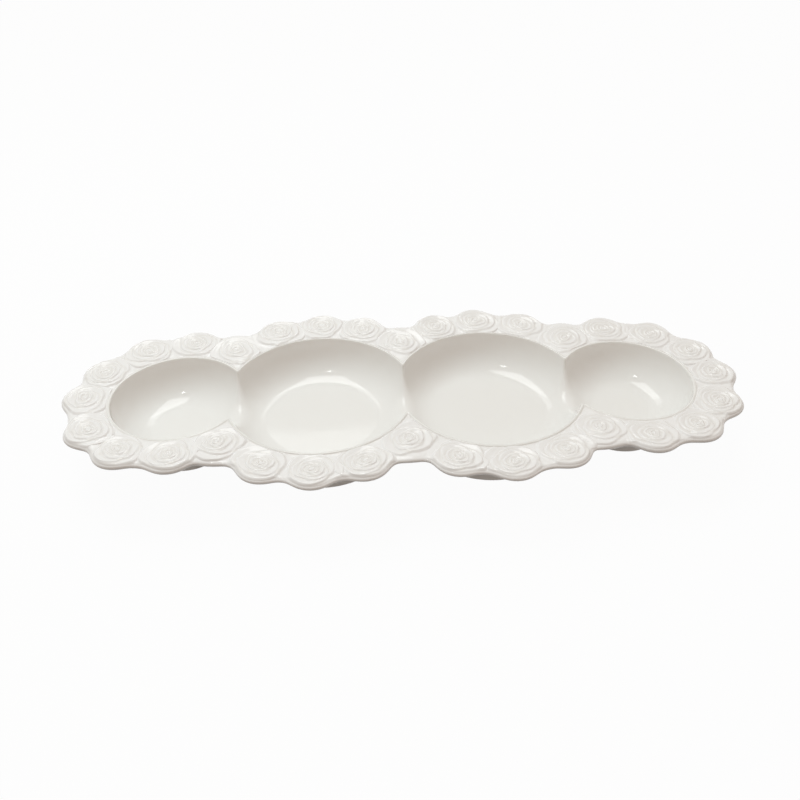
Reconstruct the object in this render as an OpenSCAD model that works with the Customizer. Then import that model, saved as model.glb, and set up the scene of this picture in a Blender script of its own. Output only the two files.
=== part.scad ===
// Divided serving dish: two large and two small round wells in a row, in a border of roses.
// X runs along the row, the front is -Y, and Z = 0 is the table under the foot rings.

/* [Dish] */
// Height of the bowl lips above the table
rim_h = 40; // [32:0.5:60]
// How far the lips of the two large bowls overlap in plan
large_overlap = 9; // [5:0.5:14]
// How far the lips of a large and a small bowl overlap in plan
small_overlap = 11; // [6:0.5:14]

/* [Bowls] */
// Inside radius of a large bowl at its lip
large_r = 59; // [50:0.5:75]
// Inside radius of a small bowl at its lip
small_r = 41.5; // [36:0.5:50]
// Depth of the bowls below their lips
bowl_depth = 23; // [18:0.5:25]
// How far the wall of a large bowl curves in from its lip to the flat floor
large_wall = 22.5; // [18:0.5:28]
// How far the wall of a small bowl curves in from its lip to the flat floor
small_wall = 24.5; // [18:0.5:30]
// Thickness of the clay under the bowl floors
floor_t = 5; // [3:0.25:6.5]
// Width of the raised lip around each bowl
lip_w = 1.6; // [1.2:0.1:2.4]

/* [Border] */
// Thickness of the border at its edge
border_t = 4; // [3:0.25:6]
// How far the bowl lips stand above the ground of the border
lip_rise = 0.3; // [0.2:0.1:1]
// Width of the ground of the border, from a bowl's lip to the dips in the edge
ground_w = 25; // [20:0.5:30]
// Radius of a scallop of the edge around its rose
scallop_r = 14.6; // [12:0.2:18]
// Radius of the edge around the roses that lie between two bowls
notch_r = 18.5; // [15:0.5:21]

/* [Roses] */
// Distance of the rose centres outside the lip of a bowl
rose_offset = 15.6; // [13:0.2:19]
// Least gap between a rose and its neighbours
rose_gap = 0.8; // [0.4:0.1:2]
// Gap between a rose and the lip of a bowl
rose_inset = 0.2; // [0.1:0.1:1]
// Height of a rose above the ground of the border
rose_h = 2.5; // [1.5:0.1:4]

/* [Feet] */
// How far inside the lip of a large bowl its foot ring stands
large_foot_inset = 10.5; // [9:0.5:21]
// How far inside the lip of a small bowl its foot ring stands
small_foot_inset = 14; // [9.5:0.5:21]
// Width of the face that a foot ring stands on
foot_w = 4; // [2.5:0.25:8]

/* [Hidden] */
// Smoothness of the round faces
$fn = 96;
// Number of straight steps in the outline of a bowl's wall
wall_steps = 14;
// Amount by which cutting shapes overrun what they cut
overrun = 1;
// Land between the edge of a divider and the neighbouring bowl's lip
divider_land = 0.5;

// Bowl centres along X
large_x = large_r - large_overlap / 2;
small_x = large_x + large_r + small_r - small_overlap;
// Sizes that follow from the driving ones
ground_z = rim_h - lip_rise;
border_z = ground_z - border_t;
large_floor_r = large_r - large_wall;
small_floor_r = small_r - small_wall;
large_foot_r = large_r - large_foot_inset;
small_foot_r = small_r - small_foot_inset;
far = small_x + small_r + ground_w + rose_offset + scallop_r;

// Each bowl: centre, inside radius, floor radius, foot radius and name
BOWLS = [
  [-small_x, small_r, small_floor_r, small_foot_r, "small_left"],
  [-large_x, large_r, large_floor_r, large_foot_r, "large_left"],
  [large_x, large_r, large_floor_r, large_foot_r, "large_right"],
  [small_x, small_r, small_floor_r, small_foot_r, "small_right"]
];
DIVIDERS = ["left", "middle", "right"];

// Where the rings of rose centres around two neighbouring bowls cross, as an angle seen from the
// first bowl; gap is the distance between the two centres
function crossing(gap, ring, other_ring) =
  acos((gap * gap + ring * ring - other_ring * other_ring) / (2 * gap * ring));

large_ring = large_r + rose_offset;
small_ring = small_r + rose_offset;
// Angles from +X of the roses in the notches, seen from the large and from the small bowl
middle_angle = 180 - crossing(2 * large_x, large_ring, large_ring);
side_angle = crossing(small_x - large_x, large_ring, small_ring);
end_angle = 180 - crossing(small_x - large_x, small_ring, large_ring);
// Spaces between roses in the stretch along a large bowl, and from notch to end on a small one
large_spaces = 4;
small_spaces = 4;
large_step = (middle_angle - side_angle) / large_spaces;
small_step = end_angle / small_spaces;

// Even places of the roses of a quarter of the border, from the right end round to the middle
// notch. Each is a bowl's centre, the ring of roses round it, the angle on the ring, the space to
// the next rose and the radius of the edge there.
QUARTER = concat(
  [for (i = [1 : small_spaces]) [
    small_x, small_ring, i * small_step, small_step, i < small_spaces ? scallop_r : notch_r
  ]],
  [for (i = [1 : large_spaces]) [
    large_x, large_ring, side_angle + i * large_step, large_step,
    i < large_spaces ? scallop_r : notch_r
  ]]
);
function left_of(p) = [-p[0], p[1], 180 - p[2], p[3], p[4]];
function front_of(p) = [p[0], p[1], -p[2], p[3], p[4]];
back_row = concat(
  [for (p = QUARTER) left_of(p)],
  [for (i = [len(QUARTER) - 2 : -1 : 0]) QUARTER[i]]
);
// All the places, clockwise from the left end
PLACES = concat(
  [[-small_x, small_ring, 180, small_step, scallop_r]],
  back_row,
  [[small_x, small_ring, 0, small_step, scallop_r]],
  [for (i = [len(back_row) - 1 : -1 : 0]) front_of(back_row[i])]
);
rose_count = len(PLACES);
// Pressed on by hand, each rose sits a little off its even place: shares of the space to the
// next one, clockwise
slip_shares = [
  0, -0.12, -0.03, 0.03, -0.02, 0.11, 0.07, -0.01,
  -0.01, -0.01, -0.07, -0.03, 0.07, 0.07, 0.12, 0.12,
  -0.05, -0.04, -0.05, -0.06, -0.04, -0.05, -0.02, -0.02,
  0.04, 0.04, 0, -0.07, 0.04, -0.07, -0.04, -0.11
];
ROSES = [
  for (i = [0 : rose_count - 1])
    let (p = PLACES[i], a = p[2] - slip_shares[i] * p[3])
      [p[0] + p[1] * cos(a), p[1] * sin(a)]
];
// Each rose fills the room between its neighbours, up to the lip of the bowl
function rose_space(i) = norm(ROSES[i] - ROSES[(i + 1) % rose_count]);
function rose_r(i) = min(
  (min(rose_space(i), rose_space((i + rose_count - 1) % rose_count)) - rose_gap) / 2,
  rose_offset - lip_w - rose_inset
);

function rose_name(i) = str("rose_", i < 9 ? "0" : "", i + 1);

// Outline of half a bowl: the middle of the flat floor, then up the curve of the wall to the lip
function wall_points(r, depth, floor_r) = concat(
  [[0, -depth]],
  [for (i = [0 : wall_steps])
    let (a = 90 * i / wall_steps)
      [floor_r + (r - floor_r) * sin(a), -depth * cos(a)]]
);

// The space inside a bowl, open past the lip, about the bowl's own axis
module hollow(b) {
  translate([b[0], 0, rim_h])
    rotate_extrude()
      polygon(concat(
        wall_points(b[1], bowl_depth, b[2]),
        [[b[1], overrun], [0, overrun]]
      ));
}

// Section of the whole outside of a bowl: the lip's straight band down through the border, then
// the curve of the underside
module outside_section(b) {
  curve_depth = bowl_depth + floor_t - (rim_h - border_z);
  polygon(concat(
    [for (p = wall_points(b[1] + lip_w, curve_depth, b[2])) [p[0], p[1] + border_z]],
    [[b[1] + lip_w, rim_h], [0, rim_h]]
  ));
}

module outside(b) {
  translate([b[0], 0, 0])
    rotate_extrude()
      outside_section(b);
}

// The slab between bowl i and the next, which holds the wall that divides them
function slab_left(i) = BOWLS[i + 1][0] - BOWLS[i + 1][1] - divider_land;
function slab_right(i) = BOWLS[i][0] + BOWLS[i][1] + divider_land;

module slab(i) {
  width = slab_right(i) - slab_left(i);
  translate([slab_left(i), -far, -overrun])
    cube([width, 2 * far, rim_h + 2 * overrun]);
}

module bowl(i) {
  b = BOWLS[i];
  color("ivory")
    difference() {
      outside(b);
      hollow(b);
      if (i > 0)
        translate([slab_right(i - 1) - 2 * far, -far, -overrun])
          cube([2 * far, 2 * far, rim_h + 2 * overrun]);
      if (i < len(BOWLS) - 1)
        translate([slab_left(i), -far, -overrun])
          cube([2 * far, 2 * far, rim_h + 2 * overrun]);
    }
}

module divider(i) {
  color("whitesmoke")
    difference() {
      intersection() {
        union() {
          outside(BOWLS[i]);
          outside(BOWLS[i + 1]);
        }
        slab(i);
      }
      hollow(BOWLS[i]);
      hollow(BOWLS[i + 1]);
    }
}

// The ground of the border: discs round the bowls, with a scallop at each rose
module border() {
  color("snow")
    difference() {
      translate([0, 0, border_z])
        linear_extrude(border_t)
          union() {
            for (b = BOWLS)
              translate([b[0], 0])
                circle(b[1] + ground_w);
            for (i = [0 : rose_count - 1])
              translate(ROSES[i])
                circle(PLACES[i][4]);
          }
      for (b = BOWLS)
        translate([b[0], 0, border_z - overrun])
          cylinder(r = b[1] + lip_w, h = border_t + 2 * overrun);
    }
}

// A foot ring stands on the table and fits the curve of the bowl above it
module foot(i) {
  b = BOWLS[i];
  color("linen")
    translate([b[0], 0, 0])
      rotate_extrude()
        difference() {
          translate([b[3] - foot_w, 0])
            square([foot_w, border_z]);
          outside_section(b);
        }
}

// The rings of points that make a rose, from its outline to its heart: distance from the middle
// and height as shares of the rose, how far one side of the ring leans out, and how much lower
// the other side lies. Ridges and grooves follow each other, as the edges of petals do.
ROSE_SHARES = [
  [1.00, 0.00, 0.02, 0.00],
  [0.94, 0.42, 0.02, 0.10],
  [0.74, 0.34, 0.05, 0.06],
  [0.67, 0.72, 0.05, 0.26],
  [0.48, 0.52, 0.06, 0.08],
  [0.41, 0.92, 0.05, 0.30],
  [0.23, 0.62, 0.04, 0.05],
  [0.15, 1.00, 0.03, 0.15]
];
heart_share = 0.8;
rose_spokes = 20;
// Each petal starts about this many degrees on from the one outside it
petal_turn = 137.5;

// The outline of each rose leans in by its own share, so that it stays inside its circle
function rose_points(radius, turn) = [
  for (k = [0 : len(ROSE_SHARES) - 1])
    for (s = [0 : rose_spokes - 1])
      let (
        ring = ROSE_SHARES[k],
        a = 360 * s / rose_spokes,
        lean = cos(a - turn - petal_turn * floor((k + 1) / 2)),
        r = radius * (ring[0] - ring[2] * (1 - lean) / 2),
        z = rose_h * (ring[1] - ring[3] * (1 - lean) / 2)
      )
        [r * cos(a), r * sin(a), z]
];

module rose(i) {
  rings = len(ROSE_SHARES);
  heart = rings * rose_spokes;
  side_faces = [
    for (k = [0 : rings - 2])
      for (s = [0 : rose_spokes - 1])
        let (
          next = (s + 1) % rose_spokes,
          a = k * rose_spokes + s,
          b = k * rose_spokes + next,
          c = a + rose_spokes,
          d = b + rose_spokes
        )
          each [[a, c, d], [a, d, b]]
  ];
  heart_faces = [
    for (s = [0 : rose_spokes - 1])
      [(rings - 1) * rose_spokes + s, heart, (rings - 1) * rose_spokes + (s + 1) % rose_spokes]
  ];
  color("mistyrose")
    translate([ROSES[i][0], ROSES[i][1], ground_z])
      polyhedron(
        points = concat(rose_points(rose_r(i), i * petal_turn), [[0, 0, heart_share * rose_h]]),
        faces = concat([[for (s = [0 : rose_spokes - 1]) s]], side_faces, heart_faces)
      );
}

for (i = [0 : len(BOWLS) - 1])
  bowl(i);
for (i = [0 : len(DIVIDERS) - 1])
  divider(i);
border();
for (i = [0 : len(BOWLS) - 1])
  foot(i);
for (i = [0 : rose_count - 1])
  rose(i);
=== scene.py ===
import math
import bpy
import numpy as np
from mathutils import Matrix, Quaternion, Vector


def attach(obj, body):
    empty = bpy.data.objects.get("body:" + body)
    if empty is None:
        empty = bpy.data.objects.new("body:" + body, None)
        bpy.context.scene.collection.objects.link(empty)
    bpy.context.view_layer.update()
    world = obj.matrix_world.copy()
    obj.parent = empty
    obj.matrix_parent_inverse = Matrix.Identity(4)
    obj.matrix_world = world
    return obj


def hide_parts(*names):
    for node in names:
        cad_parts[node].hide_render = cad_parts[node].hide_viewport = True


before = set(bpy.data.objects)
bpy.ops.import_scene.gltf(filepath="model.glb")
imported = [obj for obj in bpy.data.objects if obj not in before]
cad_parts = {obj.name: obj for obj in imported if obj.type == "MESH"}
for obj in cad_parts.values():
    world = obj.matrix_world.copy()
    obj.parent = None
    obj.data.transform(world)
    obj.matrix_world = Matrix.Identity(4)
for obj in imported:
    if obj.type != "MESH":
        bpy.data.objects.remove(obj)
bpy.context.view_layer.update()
scene = bpy.context.scene
print("frame loaded,", len(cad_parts), "parts")

# Lengths are in millimetres. Heights are measured from the plane of the well lips, and the
# last step of each mesh turns them into metres above the table.
dish = {
    "rimHeight": 40.0,
    "wellDepth": 23.0,
    "floorThick": 5.0,
    "lipWidth": 1.6,        # lip of a well, where the well meets the border
    "lipDrop": 4.3,         # from the lip down to the underside of the border
    "lipRound": 1.9,        # blend between the wall of a well and its lip
    "lipJoin": 3.0,         # blend of two neighbouring lips, in plan
    "crestRound": 10.0,     # blend over the walls between the wells, on the row's axis
    "cuspRound": 2.5,       # and at their ends
    "crestFrom": (1.0, 0.2),    # shares of the way to the ends between which it changes
    "underRound": 6.0,      # blend between the wells and the border, underneath
    "topRange": (-8.0, 36.0),   # depths between which the upper side lies
    "lowRange": (-1.0, 40.0),   # and the underside
    "probe": 0.01,          # step for measuring slopes
}
# centre along the row, inside radius and radius of the flat floor, left to right
wells = [(-144.0, 41.5, 17.0), (-54.5, 59.0, 36.5), (54.5, 59.0, 36.5), (144.0, 41.5, 17.0)]
wellNames = ["SmallLeft", "LargeLeft", "LargeRight", "SmallRight"]
wellNodes = ["small_left", "large_left", "large_right", "small_right"]

borderShape = {
    "groundWidth": 24.4,    # lip to the dips of the edge
    "scallopRadius": 14.6,
    "notchRadius": 18.5,    # the edge round the roses between two wells
    "edgeFillet": 7.0,      # blend where two scallops meet
    "edgeRound": 2.5,       # how far in the rounding of the edge reaches
    "beadFrom": 0.3,        # the lip's bead rolls down from here
    "grooveAt": 1.9,        # to here
    "grooveDepth": 1.0,
    "shallower": 0.5,       # share of that depth which is missing round the small wells
    "shallowFrom": (95, 125),   # from here to here along the row
    "paintedShadeWidth": 0.9,       # painted shade reaches this far about the foot of the bead, in the groove
    "rise": 2.1,            # the ground climbs by this much to the edge
    "underRise": 1.8,
    "riseFrom": 2.5,
    "riseOver": 24.0,
    "riseSoft": 0.25,
    "notchAt": 112.1,       # where the edge turns in beside a small well
    "columns": 1200,
    "nearLip": [0, 0.12, 0.22, 0.3, 0.4, 0.55, 0.85, 1.3, 2.0, 3.0, 4.2],     # rows of the mesh
    "nearEdge": [4.6, 3.2],
    "edgeRows": 8,
    "rowsBetween": 14,
    "edgeRange": (45.0, 110.0),     # where the edge lies, from the row's axis
    "castFrom": 2.0,        # it is looked for from this far outside a well's radius
    "castOver": 70.0,       # over this length
    "inmost": 0.35,         # and never nearer to the lip than this share of the border
    "probes": 1600,
}

roseShape = {
    "offset": 15.6,         # rose centres outside the lip
    "radius": 14.6,
    "gap": -0.9,            # petals of neighbours just run into each other
    "widths": (0.85, 1.3),  # least and greatest width along the border, as shares
    "lipGap": 1.4,          # gap between the slip round a rose and the lip
    "edgeGap": 0.15,
    "spread": 1.25,         # the slip round a rose, as a share of its radius
    "rimFrom": 0.3,         # its rim is looked for from this share of the radius
    "rings": 72,
    "spokes": 140,
    "proud": 0.1,           # the slip stands above the ground by this or twice this
    "sunk": 0.35,           # its rim lies this deep in the ground
    "sinkFrom": 0.84,
    "bed": 1.3,             # depth of its underside
    "bedShare": 0.9,
    "fadeRim": (1.0, 0.93),     # the petals run out at the slip's rim,
    "fadeEdge": (-0.3, 3.2),    # at the edge of the border
    "fadeLip": (1.4, 2.8),      # and at the lip
    "height": 1.9,
    "wornRight": 0.45,      # the relief is this much lower beside the right wells
    "rightFrom": (20, 110),
    "rightTo": (190, 160),
    "wornBack": 0.22,       # and this much lower along the back
    "backFrom": (-20, 30),
    "petals": 12,
    "petalCycle": 4,        # from rose to rose, none to one fewer than this are added
    "petalStep": 7,
    "goldenTurn": 2.39996,  # turn from petal to petal and from rose to rose
    "seedStep": 3.7,
}
# slips of the hand-pressed roses along the row, as shares of the space to the next one
slipShares = [
    0, -0.12, -0.03, 0.03, -0.02, 0.11, 0.07, -0.01,
    -0.01, -0.01, -0.07, -0.03, 0.07, 0.07, 0.12, 0.12,
    -0.05, -0.04, -0.05, -0.06, -0.04, -0.05, -0.02, -0.02,
    0.04, 0.04, 0, -0.07, 0.04, -0.07, -0.04, -0.11,
]


def smoothLeast(a, b, width):
    h = np.maximum(width - np.abs(a - b), 0) / width
    return np.minimum(a, b) - h ** 3 * width / 6


def roundLeast(a, b, width):
    h = np.maximum(width - np.abs(a - b), 0) / width
    return np.minimum(a, b) - h ** 2 * width / 4


def smoothStep(low, high, value):
    t = np.clip((value - low) / (high - low), 0, 1)
    return t * t * (3 - 2 * t)


def shellGap(x, y, z, well, radius, top, depth):
    # distance outside a dish with a flat floor and an elliptic wall, straight above its top
    reach = radius - well[2]
    u = np.maximum(np.hypot(x - well[0], y) - well[2], 0) / reach
    w = np.maximum(top - z, 0) / depth
    s = np.maximum(np.hypot(u, w), 1e-6)
    return (s - 1) / np.hypot(u / s / reach, w / s / depth)


def lipDistance(x, y):
    gap = None
    for cx, radius, flat in wells:
        one = np.hypot(x - cx, y) - radius
        gap = one if gap is None else smoothLeast(gap, one, dish["lipJoin"])
    return gap


def ramp(gap):
    t = np.maximum(gap - borderShape["riseFrom"], 0) / borderShape["riseOver"]
    soft = borderShape["riseSoft"]
    return np.where(t < soft, t * t / (2 * soft), t - soft / 2)


def groundHeight(x, y):
    gap = lipDistance(x, y)
    start = borderShape["beadFrom"]
    groove = np.clip((gap - start) / (borderShape["grooveAt"] - start), 0, 1) ** 2
    small = smoothStep(*borderShape["shallowFrom"], np.abs(x))
    depth = borderShape["grooveDepth"] * (1 - borderShape["shallower"] * small)
    return borderShape["rise"] * ramp(gap) - depth * groove


def underHeight(x, y):
    return borderShape["underRise"] * ramp(lipDistance(x, y)) - dish["lipDrop"]


def cuspReach(left, right):
    # how far from the row's axis the outer edges of two neighbouring lips cross
    a, b = left[1] + dish["lipWidth"], right[1] + dish["lipWidth"]
    gap = right[0] - left[0]
    along = (gap * gap + a * a - b * b) / (2 * gap)
    return math.sqrt(a * a - along * along)


def clayAbove(x, y, z):
    # more than zero in the clay, less in the air over it
    air = None
    wide = smoothStep(*dish["crestFrom"], np.abs(y) / cuspReach(wells[0], wells[1]))
    width = dish["cuspRound"] + (dish["crestRound"] - dish["cuspRound"]) * wide
    for well in wells:
        one = shellGap(x, y, z, well, well[1], 0.0, dish["wellDepth"])
        air = one if air is None else roundLeast(air, one, width)
    return smoothLeast(air, groundHeight(x, y) - z, dish["lipRound"])


def airBelow(x, y, z):
    # more than zero in the air under the clay
    clay = None
    depth = dish["wellDepth"] + dish["floorThick"] - dish["lipDrop"]
    for well in wells:
        one = shellGap(x, y, z, well, well[1] + dish["lipWidth"], -dish["lipDrop"], depth)
        clay = one if clay is None else smoothLeast(clay, one, dish["underRound"])
    return smoothLeast(clay, underHeight(x, y) - z, dish["underRound"])


def bisect(test, low, high, steps=26):
    # test is below zero at low and above it at high
    low, high = np.array(low, float), np.array(high, float)
    for _ in range(steps):
        middle = (low + high) / 2
        below = test(middle) < 0
        low = np.where(below, middle, low)
        high = np.where(below, high, middle)
    return (low + high) / 2


def topHeight(x, y):
    low, high = (np.full(np.shape(x), end) for end in dish["topRange"])
    return -bisect(lambda t: clayAbove(x, y, -t), low, high)


def bottomHeight(x, y):
    low, high = (np.full(np.shape(x), end) for end in dish["lowRange"])
    return -bisect(lambda t: airBelow(x, y, -t), low, high)


def slopeOf(field, points, sign):
    x, y, z = points.T
    d = dish["probe"]
    g = np.stack([
        field(x + d, y, z) - field(x - d, y, z),
        field(x, y + d, z) - field(x, y - d, z),
        field(x, y, z + d) - field(x, y, z - d),
    ], 1) * sign
    return g / np.maximum(np.linalg.norm(g, axis=1, keepdims=True), 1e-9)


def crestPlace(left, right, y):
    # where the walls of two neighbouring wells are equally high
    def height(well, x):
        u = np.maximum(np.hypot(x - well[0], y) - well[2], 0) / (well[1] - well[2])
        inside = -dish["wellDepth"] * np.sqrt(np.maximum(1 - u ** 2, 0))
        return np.where(u < 1, inside, (u - 1) * well[1])
    low, high = np.full(np.shape(y), left[0]), np.full(np.shape(y), right[0])
    return bisect(lambda x: height(left, x) - height(right, x), low, high)


# Places of the roses, clockwise from the left end: x, y, radius of the edge round it, direction
def rosePlaces():
    large, small = wells[2], wells[3]
    largeRing, smallRing = large[1] + roseShape["offset"], small[1] + roseShape["offset"]

    def crossing(gap, ring, other):
        return math.degrees(math.acos((gap * gap + ring * ring - other * other) / (2 * gap * ring)))
    gap = small[0] - large[0]
    middleAngle = 180 - crossing(2 * large[0], largeRing, largeRing)
    sideAngle = crossing(gap, largeRing, smallRing)
    endAngle = 180 - crossing(gap, smallRing, largeRing)
    largeStep, smallStep = (middleAngle - sideAngle) / 4, endAngle / 4
    edges = [borderShape["scallopRadius"]] * 3 + [borderShape["notchRadius"]]
    quarter = [(small[0], smallRing, k * smallStep, smallStep, edge) for k, edge in enumerate(edges, 1)]
    quarter += [(large[0], largeRing, sideAngle + k * largeStep, largeStep, edge)
                for k, edge in enumerate(edges, 1)]
    back = [(-cx, ring, 180 - angle, step, edge) for cx, ring, angle, step, edge in quarter] + quarter[-2::-1]
    places = [(-small[0], smallRing, 180, smallStep, edges[0])] + back
    places += [(small[0], smallRing, 0, smallStep, edges[0])]
    places += [(cx, ring, -angle, step, edge) for cx, ring, angle, step, edge in reversed(back)]
    spots = []
    for (cx, ring, angle, step, edge), slip in zip(places, slipShares):
        turned = math.radians(angle - slip * step)
        spots.append((cx + ring * math.cos(turned), ring * math.sin(turned), edge, turned))
    return spots


roses = rosePlaces()


def outlineGap(x, y):
    # distance inside the scalloped outline of the border
    gap = None
    for cx, radius, flat in wells:
        one = np.hypot(x - cx, y) - radius - borderShape["groundWidth"]
        gap = one if gap is None else smoothLeast(gap, one, borderShape["edgeFillet"])
    for cx, cy, radius, turned in roses:
        gap = smoothLeast(gap, np.hypot(x - cx, y - cy) - radius, borderShape["edgeFillet"])
    return -gap


def edgeShare(x, y):
    # how much of its thickness the border has left at a point of its rounded edge
    t = np.clip(outlineGap(x, y) / borderShape["edgeRound"], 0, 1)
    return np.sqrt(np.maximum(1 - (1 - t) ** 2, 0))


def borderTop(x, y):
    top, under = groundHeight(x, y), underHeight(x, y)
    return (top + under) / 2 + (top - under) / 2 * edgeShare(x, y)


def edgeField(x, y, z):
    top, under = groundHeight(x, y), underHeight(x, y)
    t = np.clip(outlineGap(x, y) / borderShape["edgeRound"], -1, 1)
    return (1 - t) ** 2 + ((2 * z - top - under) / (top - under)) ** 2


def makeMesh(name, points, faces, normals=None):
    mesh = bpy.data.meshes.new(name)
    placed = np.array(points, float) / 1000
    placed[:, 2] += dish["rimHeight"] / 1000
    mesh.from_pydata(placed.tolist(), [], faces)
    mesh.polygons.foreach_set("use_smooth", [True] * len(mesh.polygons))
    mesh.validate()
    if normals is not None:
        mesh.normals_split_custom_set_from_vertices(normals.tolist())
    piece = bpy.data.objects.new(name, mesh)
    scene.collection.objects.link(piece)
    return piece


def closedShell(name, sheetPair, quads, pooling):
    # a top sheet and the bottom sheet under it, joined by a wall along the open edge
    used = np.unique(quads)
    top, bottom, topNormals, bottomNormals = (sheet[used] for sheet in sheetPair)
    count = len(used)
    index = -np.ones(len(sheetPair[0]), int)
    index[used] = np.arange(count)
    met = np.linalg.norm(top - bottom, axis=1) < 1e-3
    under = np.where(met, np.arange(count), np.arange(count) + count)
    edges = {}
    faces = []
    for quad in index[quads].tolist():
        loop = [quad[k] for k in range(4) if quad[k] != quad[k - 1]]
        faces.append(loop)
        faces.append([int(under[k]) for k in reversed(loop)])
        for k in range(len(loop)):
            a, b = loop[k - 1], loop[k]
            if (b, a) in edges:
                del edges[(b, a)]
            else:
                edges[(a, b)] = True
    for a, b in edges:
        loop = [b, a, int(under[a]), int(under[b])]
        loop = [loop[k] for k in range(4) if loop[k] != loop[k - 1]]
        if len(loop) > 2:
            faces.append(loop)
    keep = np.concatenate([np.ones(count, bool), ~met])
    order = -np.ones(2 * count, int)
    order[keep] = np.arange(keep.sum())
    faces = [[int(order[k]) for k in loop] for loop in faces]
    piece = makeMesh(name, np.vstack([top, bottom])[keep], faces, np.vstack([topNormals, bottomNormals])[keep])
    # painted shade from the mask goes on the top sheet, none on the underside
    values = np.concatenate([pooling[used], np.zeros(count)])[keep]
    layer = piece.data.attributes.new("pooling", "FLOAT", "POINT")
    layer.data.foreach_set("value", values.astype(np.float32))
    print(name, len(piece.data.polygons), "faces")
    return piece


def weld(points, quads, grid=2e4):
    # joins the points that lie at the same place, to 1 / grid mm
    keys = np.round(points * grid).astype(np.int64)
    _, first, back = np.unique(keys, axis=0, return_index=True, return_inverse=True)
    return first, back.reshape(-1)[quads]


# Wells and the walls between them
wellMesh = {
    "seat": 40.0,           # the profiles are cast from this height over the middle of a well
    "castFrom": 20.0,
    "pastFloor": 4.0,       # and end this far past the floor
    "pastLip": 0.3,         # and the lip
    "probes": 100,
    "roughSteps": 12,       # halvings in the first cast, and in the last
    "fineSteps": 24,
    "rows": 66,
    "fineRows": 24,         # rows in the last stretch, over the lip and the crests
    "fineLength": 7.0,
    "sectorColumns": 44,
    "largeColumns": 200,
    "smallColumns": 170,
    "dividerRows": 24,      # rows of the last stretch that belong to a dividing wall
    "paintedShadeAt": 2.4,          # shade is painted into the glaze beside the lip, centred this far out
    "paintedShadeWidth": 0.8,
}


def wellGrid(number):
    well = wells[number]
    outer = well[1] + dish["lipWidth"]
    sweep = np.sin(np.linspace(-1, 1, wellMesh["sectorColumns"] + 1) * math.pi / 2)
    crests = {}             # the sides that face a neighbour
    for label, pair in (("left", wells[number - 1:number + 1]), ("right", wells[number:number + 2])):
        if len(pair) == 2:
            y = sweep * cuspReach(*pair)
            crests[label] = (crestPlace(*pair, y), y)
    turns = {label: math.atan2(y[-1], abs(x[-1] - well[0])) for label, (x, y) in crests.items()}
    start = turns["right"] if "right" in turns else turns["left"] - math.pi
    stop = math.pi - turns["left"] if "left" in turns else 2 * math.pi - start
    total = wellMesh["largeColumns"] if "Large" in wellNames[number] else wellMesh["smallColumns"]
    around = np.linspace(start, stop, total // len(crests) + 1)[1:-1]
    stretches = [("", well[0] + outer * np.cos(around), outer * np.sin(around))]
    if "right" in crests:
        stretches.insert(0, ("right", *crests["right"]))
    if "left" in crests:
        x, y = crests["left"]
        stretches.append(("left", x[::-1], y[::-1]))
    if len(crests) == 2:
        front = -around[::-1]
        stretches.append(("", well[0] + outer * np.cos(front), outer * np.sin(front)))
    ends = np.concatenate([np.stack([x, y], 1) for label, x, y in stretches])
    side = [label for label, x, y in stretches for _ in x]
    endHeight = topHeight(ends[:, 0], ends[:, 1])
    away = np.hypot(ends[:, 0] - well[0], ends[:, 1])
    angle = np.arctan2(ends[:, 1], ends[:, 0] - well[0])
    seat = wellMesh["seat"]
    lastTilt = np.arctan2(away, seat - endHeight)

    def cast(tilt, steps):
        # distance from the seat to the clay, for tilts in columns
        across, down = np.sin(tilt), np.cos(tilt)
        cosA, sinA = np.cos(angle)[:, None], np.sin(angle)[:, None]

        def test(t):
            return clayAbove(well[0] + t * across * cosA, t * across * sinA, seat - t * down)
        deep = (seat + dish["wellDepth"] + wellMesh["pastFloor"]) / down
        far = np.minimum(deep, (away[:, None] + wellMesh["pastLip"]) / np.maximum(across, 1e-6))
        t = bisect(test, np.full(tilt.shape, wellMesh["castFrom"]), far, steps)
        return t * across, seat - t * down
    share = np.linspace(0, 1, wellMesh["probes"])[None, :]
    away0, height0 = cast(lastTilt[:, None] * share, wellMesh["roughSteps"])
    length = np.concatenate([
        np.zeros((len(ends), 1)),
        np.cumsum(np.hypot(np.diff(away0, axis=1), np.diff(height0, axis=1)), axis=1)], 1)
    fine, rows = wellMesh["fineRows"], wellMesh["rows"]
    tilt = np.zeros((len(ends), rows + 1))
    for k in range(len(ends)):
        whole = length[k, -1]
        last = whole - wellMesh["fineLength"]
        marks = np.concatenate([np.linspace(0, last, rows - fine + 1), np.linspace(last, whole, fine + 1)[1:]])
        tilt[k] = np.interp(marks, length[k], lastTilt[k] * share[0])
    away1, height1 = cast(tilt, wellMesh["fineSteps"])
    x = well[0] + away1 * np.cos(angle)[:, None]
    y = away1 * np.sin(angle)[:, None]
    x[:, -1], y[:, -1], height1[:, -1] = ends[:, 0], ends[:, 1], endHeight
    x[:, 0], y[:, 0] = well[0], 0
    height1[:, 0] = height1[:, 0].mean()
    return np.stack([x, y, height1], 2), side


def gridQuads(columns, rows):
    stride = rows + 1
    c = np.arange(columns)[:, None]
    r = np.arange(rows)[None, :]
    n = (c + 1) % columns
    return np.stack([c * stride + r, c * stride + r + 1, n * stride + r + 1, n * stride + r], 2)


def sheets(points):
    flat = points.reshape(-1, 3)
    low = flat.copy()
    low[:, 2] = bottomHeight(flat[:, 0], flat[:, 1])
    return flat, low, slopeOf(clayAbove, flat, -1), slopeOf(airBelow, low, 1)


grids = [wellGrid(number) for number in range(len(wells))]
wellSheets = [sheets(points) for points, side in grids]
print("well grids made")

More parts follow.
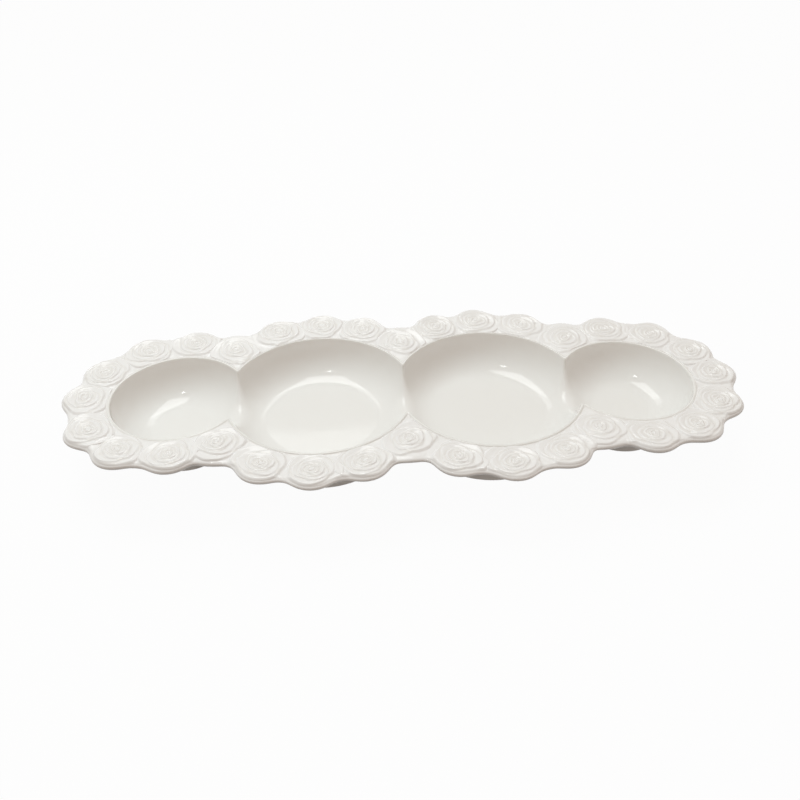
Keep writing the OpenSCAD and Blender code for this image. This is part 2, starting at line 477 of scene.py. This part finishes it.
pieces = {}
dividerParts = {0: [], 1: [], 2: []}
for number, (points, side) in enumerate(grids):
    columns, stride = points.shape[:2]
    rows = stride - 1
    quads = gridQuads(columns, rows)
    inDivider = np.zeros(quads.shape[:2], bool)
    for label, shift in (("left", -1), ("right", 0)):
        for k in range(columns):
            if side[k] == label and side[(k + 1) % columns] == label:
                inDivider[k, rows - wellMesh["dividerRows"]:] = True
                dividerParts[number + shift].append((number, quads[k, rows - wellMesh["dividerRows"]:]))
    parts = wellSheets[number]
    # painted shade: a darker band beside the lip, in the groove
    gap = lipDistance(parts[0][:, 0], parts[0][:, 1])
    creaseShade = np.exp(-((gap - wellMesh["paintedShadeAt"]) / wellMesh["paintedShadeWidth"]) ** 2)
    name = "bowl" + wellNames[number]
    first, joined = weld(parts[0], quads[~inDivider])
    pieces[name] = closedShell(name, [sheet[first] for sheet in parts], joined, creaseShade[first])

for number, label in enumerate(["Left", "Middle", "Right"]):
    found, allQuads = [], []
    offset = 0
    for well in sorted({w for w, _ in dividerParts[number]}):
        allQuads += [quad + offset for w, quad in dividerParts[number] if w == well]
        offset += len(wellSheets[well][0])
        found.append(wellSheets[well])
    parts = [np.vstack(kind) for kind in zip(*found)]
    first, joined = weld(parts[0], np.concatenate(allQuads))
    name = "divider" + label
    pieces[name] = closedShell(name, [sheet[first] for sheet in parts], joined, np.zeros(len(first)))


# Border: strips from the lips out to the scalloped edge
def borderPiece():
    shape = borderShape
    large, small = wells[2], wells[3]
    cuspSide, cuspMiddle = cuspReach(large, small), cuspReach(wells[1], large)
    sideX = float(crestPlace(large, small, np.array([cuspSide]))[0])

    def edgeAt(x, sign):
        low, high = shape["edgeRange"]
        y = bisect(lambda t: -outlineGap(x + 0 * t, sign * t), [low], [high])
        return x, sign * float(y[0])

    # one stretch for each well and side: its two ends on the outline, and its two ends on the lip
    notch = shape["notchAt"]
    stops = [
        (3, edgeAt(notch, -1), edgeAt(notch, 1), (sideX, -cuspSide), (sideX, cuspSide)),
        (2, edgeAt(notch, 1), edgeAt(0.0, 1), (sideX, cuspSide), (0.0, cuspMiddle)),
        (1, edgeAt(0.0, 1), edgeAt(-notch, 1), (0.0, cuspMiddle), (-sideX, cuspSide)),
        (0, edgeAt(-notch, 1), edgeAt(-notch, -1), (-sideX, cuspSide), (-sideX, -cuspSide)),
        (1, edgeAt(-notch, -1), edgeAt(0.0, -1), (-sideX, -cuspSide), (0.0, -cuspMiddle)),
        (2, edgeAt(0.0, -1), edgeAt(notch, -1), (0.0, -cuspMiddle), (sideX, -cuspSide)),
    ]
    lines = []
    for number, o0, o1, i0, i1 in stops:
        cx = wells[number][0]
        a0, a1, b0, b1 = (math.atan2(y, x - cx) for x, y in (o0, o1, i0, i1))
        a1 += 2 * math.pi * (a1 < a0)
        b1 += 2 * math.pi * (b1 < b0)
        a = np.linspace(a0, a1, shape["probes"])

        def reach(angles, cx=cx, start=wells[number][1] + shape["castFrom"]):
            ca, sa = np.cos(angles), np.sin(angles)
            low = np.full(angles.shape, start)
            return bisect(lambda t: -outlineGap(cx + t * ca, t * sa), low, low + shape["castOver"])
        r = reach(a)
        x, y = cx + r * np.cos(a), r * np.sin(a)
        walk = np.concatenate([[0], np.cumsum(np.hypot(np.diff(x), np.diff(y)))])
        lines.append((number, cx, a, walk, b0, b1, reach))
    whole = sum(line[3][-1] for line in lines)
    outer, inner = [], []
    for number, cx, a, walk, b0, b1, reach in lines:
        count = int(round(shape["columns"] * walk[-1] / whole))
        share = np.arange(count) / count
        angle = np.interp(share * walk[-1], walk, a)
        r = reach(angle)
        outer.append(np.stack([cx + r * np.cos(angle), r * np.sin(angle)], 1))
        lip = wells[number][1] + dish["lipWidth"]
        b = b0 + share * (b1 - b0)
        inner.append(np.stack([cx + lip * np.cos(b), lip * np.sin(b)], 1))
    outer, inner = np.vstack(outer), np.vstack(inner)
    line = outer - inner
    reachLine = np.linalg.norm(line, axis=1)
    roundings = shape["edgeRound"] * (1 - np.cos(np.linspace(0, math.pi / 2, shape["edgeRows"])))
    shares = [np.minimum(d / reachLine, 1) for d in shape["nearLip"]]
    ends = []
    for depth in shape["nearEdge"] + list(roundings[:0:-1]):
        def test(t, depth=depth):
            p = inner + line * t[:, None]
            return depth - outlineGap(p[:, 0], p[:, 1])
        ends.append(bisect(test, np.full(len(line), shape["inmost"]), np.ones(len(line))))
    ends.append(np.ones(len(line)))
    near = shares[-1]
    for k in range(1, shape["rowsBetween"]):
        shares.append(near + (ends[0] - near) * k / shape["rowsBetween"])
    shares = np.array(shares + ends).T
    x = inner[:, 0:1] + line[:, 0:1] * shares
    y = inner[:, 1:2] + line[:, 1:2] * shares
    columns, stride = x.shape
    edge = edgeShare(x, y)
    edge[:, -1] = 0
    middle = (groundHeight(x, y) + underHeight(x, y)) / 2
    top = middle + (topHeight(x, y) - middle) * edge
    under = middle + (bottomHeight(x, y) - middle) * edge
    topPoints = np.stack([x, y, top], 2).reshape(-1, 3)
    lowPoints = np.stack([x, y, under], 2).reshape(-1, 3)
    flatEdge = (edge > 0.9999).reshape(-1, 1)       # inside the rounding of the edge
    topNormals = np.where(flatEdge, slopeOf(clayAbove, topPoints, -1), slopeOf(edgeField, topPoints, 1))
    lowNormals = np.where(flatEdge, slopeOf(airBelow, lowPoints, 1), slopeOf(edgeField, lowPoints, 1))
    # painted shade: a darker band along the groove outside the lip
    gap = lipDistance(topPoints[:, 0], topPoints[:, 1])
    creaseShade = np.exp(-((gap - shape["grooveAt"]) / shape["paintedShadeWidth"]) ** 2)
    quads = gridQuads(columns, stride - 1).reshape(-1, 4)
    return closedShell("border", [topPoints, lowPoints, topNormals, lowNormals], quads, creaseShade)


pieces["border"] = borderPiece()

# Foot rings
footShape = {
    "largeRadius": 48.5,
    "smallRadius": 27.5,
    "width": 4.0,
    "edge": 0.7,            # rounding beside the standing face
    "edgeRows": 6,
    "flare": 3.6,           # reach of the curve that runs up into the well
    "flareDrop": 4.5,       # it starts this far under the well,
    "shortRing": 8.0,       # or halfway down where the ring is shorter than this
    "draft": 0.25,          # and the ring is this much wider there than at the table
    "pullUp": 2.2,
    "pullIn": 2.0,
    "flareRows": 14,
    "sunk": 0.25,           # the flare runs out this deep in the well's clay
    "capSunk": 1.5,         # and the closed top of the ring lies this deep
    "capInset": 2.0,
    "capRows": 6,
    "columns": 220,
}


def footPiece(number):
    cx, radius, flat = wells[number]
    shape = footShape
    outer = shape["largeRadius"] if "Large" in wellNames[number] else shape["smallRadius"]
    inner = outer - shape["width"]
    table = -dish["rimHeight"]

    def clay(r):
        u = max(r - flat, 0) / (radius + dish["lipWidth"] - flat)
        depth = dish["wellDepth"] + dish["floorThick"] - dish["lipDrop"]
        return -dish["lipDrop"] - depth * math.sqrt(1 - u * u)

    def flank(r, way):
        # from the standing face up to where the flank runs out on the well
        edge, far = shape["edge"], r + way * shape["flare"]
        foot = [(r - way * edge * (1 - math.sin(a)), table + edge * (1 - math.cos(a)))
                for a in np.linspace(0, math.pi / 2, shape["edgeRows"])]
        short = clay(r) - table < shape["shortRing"]
        turnAt = (clay(r) + table) / 2 if short else clay(r) - shape["flareDrop"]
        start = np.array([r + way * shape["draft"], turnAt])
        end = np.array([far, clay(far) + shape["sunk"]])
        slope = np.array([1.0, (clay(far + 0.1) - clay(far - 0.1)) / 0.2])
        slope *= way / np.linalg.norm(slope)
        one, two = start + np.array([0, shape["pullUp"]]), end - slope * shape["pullIn"]
        curve = []
        for t in np.linspace(0, 1, shape["flareRows"]):
            s = 1 - t
            curve.append(tuple(s ** 3 * start + 3 * s ** 2 * t * one + 3 * s * t * t * two + t ** 3 * end))
        return foot + curve
    inset = shape["capInset"]
    cap = [(r, clay(r) + shape["capSunk"]) for r in np.linspace(outer + inset, inner - inset, shape["capRows"])]
    profile = np.array(flank(outer, 1) + cap + flank(inner, -1)[::-1])
    turns = np.linspace(0, 2 * math.pi, shape["columns"], endpoint=False)
    points = np.stack([
        cx + profile[None, :, 0] * np.cos(turns)[:, None],
        profile[None, :, 0] * np.sin(turns)[:, None],
        np.repeat(profile[None, :, 1], len(turns), 0)], 2)
    n = len(profile)
    faces = []
    for c in range(len(turns)):
        d = (c + 1) % len(turns)
        for k in range(n):
            m = (k + 1) % n
            faces.append([c * n + k, d * n + k, d * n + m, c * n + m])
    return makeMesh("foot" + wellNames[number], points.reshape(-1, 3), faces)


for number in range(len(wells)):
    pieces["foot" + wellNames[number]] = footPiece(number)
print("foot rings made")


def linear(code):
    parts = [int(code[k:k + 2], 16) / 255 for k in (1, 3, 5)]
    return tuple(p / 12.92 if p <= 0.04045 else ((p + 0.055) / 1.055) ** 2.4 for p in parts) + (1.0,)


def addNode(tree, kind, settings=None, links=None):
    # links: for each input, the output that feeds it, or its value
    node = tree.nodes.new(kind)
    for key, value in (settings or {}).items():
        setattr(node, key, value)
    for socket, value in (links or {}).items():
        target = node.inputs[socket]
        if isinstance(value, bpy.types.NodeSocket):
            tree.links.new(value, target)
        else:
            target.default_value = value
    return node


# White glaze, poured over earthenware and fired: its colour, and a darker colour painted into creases and
# grooves as shade
glazes = {
    # wells: a smooth warm white that mirrors the softbox as crescents
    "bowl_glaze": ("glazedWhiteEarthenware", "#efeeec", "#e6e4df"),
    # border and roses: a little whiter, with small glints on the petals, and painted shade darkening the folds
    "relief_glaze": ("glazedWhiteRelief", "#f3f2f2", "#eeecea"),
    # foot rings: the same gloss, a shade creamier
    "foot_glaze": ("glazedWhiteFoot", "#efedea", "#e6e4df"),
}
glazeFinish = {
    "roughness": 0.055,     # full gloss, with the least softness at the ends of a reflection
    "ior": 1.5,
    "ripple": 0.1,          # a poured glaze keeps faint waves, this high
    "rippleSpacing": 50 / 3,    # and this far apart
    "rippleStrength": 0.5,
}


def glazeMaterial(name, body, creaseShadeColour):
    material = bpy.data.materials.new(name)
    material.use_nodes = True
    tree = material.node_tree
    tree.nodes.clear()
    # painted shade: the attribute marks creases and the groove beside the lip, where the darker colour is mixed
    # in
    creaseShade = addNode(tree, "ShaderNodeAttribute", {"attribute_name": "pooling"})
    colour = addNode(tree, "ShaderNodeMix", {"data_type": "RGBA"}, {
        0: creaseShade.outputs["Fac"], 6: linear(body), 7: linear(creaseShadeColour)})
    place = addNode(tree, "ShaderNodeTexCoord")
    wave = addNode(tree, "ShaderNodeTexNoise", links={
        "Vector": place.outputs["Object"], "Scale": 1000 / glazeFinish["rippleSpacing"], "Detail": 1.0})
    bump = addNode(tree, "ShaderNodeBump", links={
        "Height": wave.outputs["Fac"], "Strength": glazeFinish["rippleStrength"],
        "Distance": glazeFinish["ripple"] / 1000})
    shader = addNode(tree, "ShaderNodeBsdfPrincipled", links={
        "Base Color": colour.outputs[2], "Roughness": glazeFinish["roughness"], "IOR": glazeFinish["ior"],
        "Normal": bump.outputs["Normal"]})
    addNode(tree, "ShaderNodeOutputMaterial", links={"Surface": shader.outputs[0]})
    return material


fired = {slot: glazeMaterial(*glaze) for slot, glaze in glazes.items()}
print("glazes made")


# Roses: each is a disc of ground that a node tree raises into petals
def rosePatch(number):
    cx, cy, edge, turned = roses[number]
    radius = roseShape["radius"]
    rings, spokes = roseShape["rings"], roseShape["spokes"]
    a = np.linspace(0, 2 * math.pi, spokes, endpoint=False)
    # along the border a rose is as wide as its neighbours leave it room, on either side
    alongX, alongY = -math.sin(turned), math.cos(turned)
    widths = {}
    for other in (number - 1, (number + 1) % len(roses)):
        dx, dy = roses[other][0] - cx, roses[other][1] - cy
        room = (math.hypot(dx, dy) - roseShape["gap"]) / 2 / radius
        widths[dx * alongX + dy * alongY > 0] = float(np.clip(room, *roseShape["widths"]))

    def width(side):
        return np.where(side > 0, widths[True], widths[False])
    side = np.cos(a) * alongX + np.sin(a) * alongY
    full = radius * roseShape["spread"] / np.sqrt(1 - side ** 2 + (side / width(side)) ** 2)

    def beyond(t):
        # more than zero past the lip or the edge of the border
        px, py = cx + t * np.cos(a), cy + t * np.sin(a)
        return -np.minimum(outlineGap(px, py) - roseShape["edgeGap"], lipDistance(px, py) - roseShape["lipGap"])
    rim = bisect(beyond, np.full(spokes, radius * roseShape["rimFrom"]), full)
    share = np.linspace(0, 1, rings + 1)[1:]
    r = (share[:, None] * rim[None, :]).ravel()
    x = cx + np.concatenate([[0], r * np.tile(np.cos(a), rings)])
    y = cy + np.concatenate([[0], r * np.tile(np.sin(a), rings)])
    along = np.concatenate([[0], np.repeat(share, spokes)])
    proud = roseShape["proud"] * (1 + number % 2)
    z = borderTop(x, y) + proud
    sink = (roseShape["sunk"] + proud) * smoothStep(roseShape["sinkFrom"], 1.0, along)
    bed, part = roseShape["bed"], roseShape["bedShare"]
    lower = np.stack([cx + (x[-spokes:] - cx) * part, cy + (y[-spokes:] - cy) * part, z[-spokes:] - bed], 1)
    heart = [[cx, cy, float(borderTop(np.array([cx]), np.array([cy]))[0]) - bed]]
    points = np.vstack([np.stack([x, y, z - sink], 1), lower, heart])
    faces = [[0, 1 + k, 1 + (k + 1) % spokes] for k in range(spokes)]
    for ring in range(rings):
        base = 1 + ring * spokes
        for k in range(spokes):
            m = (k + 1) % spokes
            faces.append([base + k, base + spokes + k, base + spokes + m, base + m])
    bottom = 1 + rings * spokes
    faces += [[bottom + spokes, bottom + (k + 1) % spokes, bottom + k] for k in range(spokes)]
    piece = makeMesh("rose%02d" % (number + 1), points, faces)
    # where each point lies on the rose as it was before it was squeezed between its neighbours
    side = (x - cx) * alongX + (y - cy) * alongY
    squeeze = side * (1 / width(side) - 1)
    local = np.zeros((len(points), 3))
    local[:len(x), 0] = (x - cx + squeeze * alongX) / 1000
    local[:len(x), 1] = (y - cy + squeeze * alongY) / 1000
    lift = np.zeros(len(points))
    lift[:len(x)] = smoothStep(*roseShape["fadeRim"], along)
    lift[:len(x)] *= smoothStep(*roseShape["fadeEdge"], outlineGap(x, y))
    lift[:len(x)] *= smoothStep(*roseShape["fadeLip"], lipDistance(x, y))
    layer = piece.data.attributes.new("local", "FLOAT_VECTOR", "POINT")
    layer.data.foreach_set("vector", local.astype(np.float32).ravel())
    layer = piece.data.attributes.new("lift", "FLOAT", "POINT")
    layer.data.foreach_set("value", lift.astype(np.float32))
    return piece


petalShape = {
    "bend": 4.2,            # hand pressing bends the petals by up to about half this much
    "bendSpacing": 12.5,    # from one bend to the next
    "reach": 1.18,          # reach of the outermost petal, as a share of the rose's radius
    "reachLoss": 1.07,      # what is lost of it to the heart
    "curve": 0.8,
    "size": 0.77,           # size of a petal, as a share of its reach
    "sizeGain": 0.07,
    "level": 0.5,           # how high a petal lies, as a share of the relief
    "levelGain": 0.38,
    "lean": 0.14,           # its outer side stands up by this share
    "cup": -0.4,            # and its middle is hollow by this one,
    "cupFrom": 0.5,         # from this far inside its rim
    "cupOver": 4.6,         # to this far
    "thinning": 0.55,       # petals get finer to the heart
    "rimOut": -0.8,         # the rim rolls down between these,
    "rimIn": 0.7,
    "rimSoft": 2.0,         # and further out towards the heart
    "rimSoftMost": 0.4,
    "blend": 0.06,          # how softly a petal meets those under it
    "crease": 0.6,          # shade is painted in a band this far outside a rim
    "creaseWidth": 0.9,
}


def petalSteps():
    # name of the value, what is done, and to what; the tree works in metres
    plain = petalShape
    metres = {key: value / 1000 for key, value in petalShape.items()}
    return [
        ("last", "SUBTRACT", "petals", 1.0),
        ("share", "DIVIDE", "pass", "last"),                    # 0 outermost, 1 the heart
        ("curve", "POWER", "share", plain["curve"]),
        ("reachLoss", "MULTIPLY", "curve", plain["reachLoss"]),
        ("reachShare", "SUBTRACT", plain["reach"], "reachLoss"),
        ("reach", "MULTIPLY", "radius", "reachShare"),
        ("sizeGain", "MULTIPLY", "share", plain["sizeGain"]),
        ("sizeShare", "ADD", plain["size"], "sizeGain"),
        ("size", "MULTIPLY", "reach", "sizeShare"),
        ("drift", "SUBTRACT", "reach", "size"),                 # each petal is a disc set off the middle,
        ("turned", "MULTIPLY", "pass", roseShape["goldenTurn"]),
        ("aim", "ADD", "turn", "turned"),                       # and turned on from the last one
        ("aimX", "COSINE", "aim"),
        ("aimY", "SINE", "aim"),
        ("driftX", "MULTIPLY", "drift", "aimX"),
        ("driftY", "MULTIPLY", "drift", "aimY"),
        ("dx", "SUBTRACT", "x", "driftX"),
        ("dy", "SUBTRACT", "y", "driftY"),
        ("squareX", "MULTIPLY", "dx", "dx"),
        ("squareY", "MULTIPLY", "dy", "dy"),
        ("squares", "ADD", "squareX", "squareY"),
        ("away", "SQRT", "squares"),
        ("depth", "SUBTRACT", "size", "away"),                  # inside the petal's rim
        ("leanX", "MULTIPLY", "dx", "aimX"),
        ("leanY", "MULTIPLY", "dy", "aimY"),
        ("leanOut", "ADD", "leanX", "leanY"),
        ("leanShare", "DIVIDE", "leanOut", "size"),
        ("lean", "MULTIPLY", "leanShare", plain["lean"]),
        ("levelGain", "MULTIPLY", "curve", plain["levelGain"]),
        ("level", "ADD", plain["level"], "levelGain"),
        ("thinner", "MULTIPLY", "share", plain["thinning"]),
        ("thin", "SUBTRACT", 1.0, "thinner"),
        ("cupOver", "MULTIPLY", "thin", metres["cupOver"]),
        ("cupShare", "EASE", "depth", metres["cupFrom"], "cupOver"),
        ("cup", "MULTIPLY", "cupShare", plain["cup"]),
        ("profile", "ADD", "lean", "cup"),
        ("body", "ADD", "level", "profile"),
        ("softer", "MULTIPLY", "share", metres["rimSoft"]),
        ("soft", "MINIMUM", "softer", metres["rimSoftMost"]),
        ("rimOut", "SUBTRACT", metres["rimOut"], "soft"),
        ("rim", "EASE", "depth", "rimOut", metres["rimIn"]),
        ("petal", "MULTIPLY", "body", "rim"),
        ("over", "GREATER_THAN", "petal", "reliefBefore"),      # 1 where the new petal lies on top
        ("relief", "SMOOTH_MAX", "petal", "reliefBefore", plain["blend"]),
        # painted shade: a dark band in the crease outside a petal's rim
        ("outside", "ADD", "depth", metres["crease"]),
        ("aside", "ABSOLUTE", "outside"),
        ("apart", "EASE", "aside", 0.0, metres["creaseWidth"]),
        ("band", "SUBTRACT", 1.0, "apart"),
        ("under", "SUBTRACT", 1.0, "over"),
        ("creaseOld", "MULTIPLY", "creaseBefore", "under"),
        ("creaseNew", "MULTIPLY", "band", "under"),
        ("crease", "MAXIMUM", "creaseOld", "creaseNew"),
        ("raised", "MULTIPLY", "reliefAfter", "height"),
        ("lifted", "MULTIPLY", "raised", "lift"),
        ("pooling", "MULTIPLY", "creaseAfter", "lift"),
    ]


def roseTree():
    tree = bpy.data.node_groups.new("rosePetals", "GeometryNodeTree")
    for name, kind in (("Geometry", "Geometry"), ("Radius", "Float"), ("Height", "Float"), ("Turn", "Float"),
                       ("Seed", "Float"), ("Petals", "Int"), ("Glaze", "Material")):
        tree.interface.new_socket(name, in_out="INPUT", socket_type="NodeSocket" + kind)
    tree.interface.new_socket("Geometry", in_out="OUTPUT", socket_type="NodeSocketGeometry")
    start = addNode(tree, "NodeGroupInput").outputs
    local = addNode(tree, "GeometryNodeInputNamedAttribute", {"data_type": "FLOAT_VECTOR"}, {"Name": "local"})
    lift = addNode(tree, "GeometryNodeInputNamedAttribute", {"data_type": "FLOAT"}, {"Name": "lift"})
    wobble = addNode(tree, "ShaderNodeTexNoise", {"noise_dimensions": "4D"}, {
        "Vector": local.outputs["Attribute"], "W": start["Seed"],
        "Scale": 1000 / petalShape["bendSpacing"], "Detail": 1.0})
    centred = addNode(tree, "ShaderNodeVectorMath", {"operation": "SUBTRACT"}, {
        0: wobble.outputs["Color"], 1: (0.5, 0.5, 0.5)})
    scaled = addNode(tree, "ShaderNodeVectorMath", {"operation": "SCALE"}, {
        0: centred.outputs["Vector"], "Scale": petalShape["bend"] / 1000})
    bent = addNode(tree, "ShaderNodeVectorMath", {"operation": "ADD"}, {
        0: local.outputs["Attribute"], 1: scaled.outputs["Vector"]})
    split = addNode(tree, "ShaderNodeSeparateXYZ", links={0: bent.outputs["Vector"]})

    # one pass of the repeat zone lays one petal over those before it
    first = addNode(tree, "GeometryNodeRepeatInput")
    last = addNode(tree, "GeometryNodeRepeatOutput")
    first.pair_with_output(last)
    last.repeat_items.new("FLOAT", "Relief")
    last.repeat_items.new("FLOAT", "Crease")
    tree.links.new(start["Petals"], first.inputs["Iterations"])
    tree.links.new(start["Geometry"], first.inputs["Geometry"])
    tree.links.new(first.outputs["Geometry"], last.inputs["Geometry"])
    made = {
        "radius": start["Radius"], "height": start["Height"], "turn": start["Turn"], "petals": start["Petals"],
        "lift": lift.outputs["Attribute"], "x": split.outputs["X"], "y": split.outputs["Y"],
        "pass": first.outputs["Iteration"],
        "reliefBefore": first.outputs["Relief"], "creaseBefore": first.outputs["Crease"],
        "reliefAfter": last.outputs["Relief"], "creaseAfter": last.outputs["Crease"],
    }
    for name, operation, *values in petalSteps():
        kind, settings, sockets = "ShaderNodeMath", {"operation": operation}, range(3)
        if operation == "EASE":
            kind, settings = "ShaderNodeMapRange", {"interpolation_type": "SMOOTHSTEP"}
            sockets = ("Value", "From Min", "From Max")
        values = [made.get(value, value) for value in values]
        made[name] = addNode(tree, kind, settings, dict(zip(sockets, values))).outputs[0]
    tree.links.new(made["relief"], last.inputs["Relief"])
    tree.links.new(made["crease"], last.inputs["Crease"])

    shift = addNode(tree, "ShaderNodeCombineXYZ", links={"Z": made["lifted"]})
    raised = addNode(tree, "GeometryNodeSetPosition", links={
        "Geometry": last.outputs["Geometry"], "Offset": shift.outputs[0]})
    # the painted crease shade is stored for the glaze to darken with
    stored = addNode(tree, "GeometryNodeStoreNamedAttribute", {"data_type": "FLOAT", "domain": "POINT"}, {
        "Geometry": raised.outputs["Geometry"], "Name": "pooling", "Value": made["pooling"]})
    real = addNode(tree, "GeometryNodeRealizeInstances", links={"Geometry": stored.outputs["Geometry"]})
    glazed = addNode(tree, "GeometryNodeSetMaterial", links={
        "Geometry": real.outputs["Geometry"], "Material": start["Glaze"]})
    addNode(tree, "NodeGroupOutput", links={"Geometry": glazed.outputs["Geometry"]})
    return tree


def roseHeight(x, y):
    right = smoothStep(*roseShape["rightFrom"], x) * smoothStep(*roseShape["rightTo"], x)
    back = smoothStep(*roseShape["backFrom"], y)
    return roseShape["height"] - roseShape["wornBack"] * back - roseShape["wornRight"] * right


tree = roseTree()
sockets = {item.name: item.identifier for item in tree.interface.items_tree
           if item.item_type == "SOCKET" and item.in_out == "INPUT"}
for number in range(len(roses)):
    patch = rosePatch(number)
    petals = patch.modifiers.new("petals", "NODES")
    petals.node_group = tree
    petals[sockets["Radius"]] = roseShape["radius"] / 1000
    petals[sockets["Height"]] = float(roseHeight(*roses[number][:2])) / 1000
    petals[sockets["Turn"]] = number * roseShape["goldenTurn"]
    petals[sockets["Seed"]] = number * roseShape["seedStep"]
    petals[sockets["Petals"]] = roseShape["petals"] + number * roseShape["petalStep"] % roseShape["petalCycle"]
    petals[sockets["Glaze"]] = fired["relief_glaze"]
    graph = bpy.context.evaluated_depsgraph_get()
    finished = bpy.data.meshes.new_from_object(patch.evaluated_get(graph))
    patch.modifiers.remove(petals)
    patch.data = finished
    finished.polygons.foreach_set("use_smooth", [True] * len(finished.polygons))
    pieces[patch.name] = patch
print("roses made")

slots = {"bowl": "bowl_glaze", "divider": "bowl_glaze", "foot": "foot_glaze",
         "border": "relief_glaze", "rose": "relief_glaze"}
for name, piece in pieces.items():
    slot = next(slot for kind, slot in slots.items() if name.startswith(kind))
    piece.data.materials.clear()
    piece.data.materials.append(fired[slot])
    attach(piece, "root")
for name, node in zip(wellNames, wellNodes):
    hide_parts("bowl_" + node)
    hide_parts("foot_" + node)
for label in ("Left", "Middle", "Right"):
    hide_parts("divider_" + label.lower())
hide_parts("border")
for number in range(len(roses)):
    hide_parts("rose_%02d" % (number + 1))
print(len(pieces), "pieces in place")

# Camera, at the photograph's place: degrees, millimetres, and the focal length in pixels of its width
view = {
    "azimuth": -2.99,
    "elevation": 38.08,
    "roll": -0.48,
    "distance": 471.96,
    "target": (-4.08, -13.94, 40.0),
    "focal": 755.02,
    "width": 800,
    "sensor": 36.0,
}
az, el, roll = (math.radians(view[key]) for key in ("azimuth", "elevation", "roll"))
back = Vector((math.sin(az) * math.cos(el), -math.cos(az) * math.cos(el), math.sin(el)))
flat = Vector((math.cos(az), math.sin(az), 0))
up = back.cross(flat)
across = flat * math.cos(roll) + up * math.sin(roll)
upright = up * math.cos(roll) - flat * math.sin(roll)
camera = bpy.data.objects.new("camera", bpy.data.cameras.new("camera"))
scene.collection.objects.link(camera)
scene.camera = camera
camera.data.sensor_width = view["sensor"]
camera.data.lens = view["focal"] * view["sensor"] / view["width"]
camera.data.clip_start, camera.data.clip_end = 0.01, 60
place = Matrix((across, upright, back)).transposed().to_4x4()
place.translation = (Vector(view["target"]) + back * view["distance"]) / 1000
camera.matrix_world = place
print("camera set")

# Studio: lengths in metres
lamps = {
    # place, aim, width and length, radiance, colour, turn in degrees, seen in the glaze
    "sky": ((-0.36, 0.30, 0.97), (-0.03, 0, 0.04), (0.42, 0.66), 4.8, "#e4f9ff", 20, False),
    "softbox": ((-0.575, 3.368, 6.04), (-0.575, 3.368, 0), (1.95, 4.136), 3.3, "#fbfeff", 0, True),
    "softboxSkirt": ((-0.575, 6.28, 6.04), (-0.575, 6.28, 0), (1.95, 1.69), 1.3, "#fbfeff", 0, True),
    "spot": ((-0.37, -0.22, 2.44), (0, 0, 0.04), (0.18, 0.18), 14.0, "#ffffff", 0, True),
}
for name, (place, aim, size, radiance, colour, turned, seen) in lamps.items():
    data = bpy.data.lights.new(name, "AREA")
    data.shape = "RECTANGLE"
    data.size, data.size_y = size
    data.energy = radiance * math.pi * size[0] * size[1]
    data.color = linear(colour)[:3]
    lamp = bpy.data.objects.new(name, data)
    scene.collection.objects.link(lamp)
    lamp.location = place
    lamp.rotation_mode = "QUATERNION"
    turn = Quaternion((0, 0, 1), math.radians(turned))
    lamp.rotation_quaternion = (Vector(place) - Vector(aim)).to_track_quat("Z", "Y") @ turn
    lamp.visible_glossy = seen

backdrop = {
    "ambient": 0.545,       # light from the room
    "ambientColour": "#fff1e4",
    "glow": 0.962,          # what the camera sees of the paper; 1 is white
    "shade": 0.025,         # and what a shadow takes from it
    "dull": "#74716e",      # what the dish gets back from the table
    "half": 6.0,            # half the side of the floor
}
world = bpy.data.worlds.new("studio")
scene.world = world
world.use_nodes = True
worldTree = world.node_tree
worldTree.nodes.clear()
path = addNode(worldTree, "ShaderNodeLightPath")
room = addNode(worldTree, "ShaderNodeBackground", links={
    "Color": linear(backdrop["ambientColour"]), "Strength": backdrop["ambient"]})
horizon = addNode(worldTree, "ShaderNodeBackground", links={
    "Color": (1, 1, 1, 1), "Strength": backdrop["glow"] + backdrop["shade"]})
seenSky = addNode(worldTree, "ShaderNodeMixShader", links={
    0: path.outputs["Is Camera Ray"], 1: room.outputs[0], 2: horizon.outputs[0]})
addNode(worldTree, "ShaderNodeOutputWorld", links={"Surface": seenSky.outputs[0]})

# White paper sweep: flat white to the eye and in the glaze, dull grey to the light that it throws back
half = backdrop["half"]
floorMesh = bpy.data.meshes.new("floor")
corners = [(-half, -half, 0), (half, -half, 0), (half, half, 0), (-half, half, 0)]
floorMesh.from_pydata(corners, [], [[0, 1, 2, 3]])
floor = bpy.data.objects.new("floor", floorMesh)
scene.collection.objects.link(floor)
paper = bpy.data.materials.new("whitePaperSweep")
paper.use_nodes = True
paperTree = paper.node_tree
paperTree.nodes.clear()
path = addNode(paperTree, "ShaderNodeLightPath")
seen = addNode(paperTree, "ShaderNodeMath", {"operation": "MAXIMUM"}, {
    0: path.outputs["Is Camera Ray"], 1: path.outputs["Is Glossy Ray"]})
dull = addNode(paperTree, "ShaderNodeBsdfDiffuse", links={"Color": linear(backdrop["dull"])})
shaded = addNode(paperTree, "ShaderNodeBsdfDiffuse", links={"Color": (backdrop["shade"],) * 3 + (1,)})
glow = addNode(paperTree, "ShaderNodeEmission", links={"Color": (1, 1, 1, 1), "Strength": backdrop["glow"]})
white = addNode(paperTree, "ShaderNodeAddShader", links={0: shaded.outputs[0], 1: glow.outputs[0]})
mixed = addNode(paperTree, "ShaderNodeMixShader", links={
    0: seen.outputs[0], 1: dull.outputs[0], 2: white.outputs[0]})
addNode(paperTree, "ShaderNodeOutputMaterial", links={"Surface": mixed.outputs[0]})
floorMesh.materials.append(paper)
print("studio lit")

scene.view_settings.view_transform = "Standard"
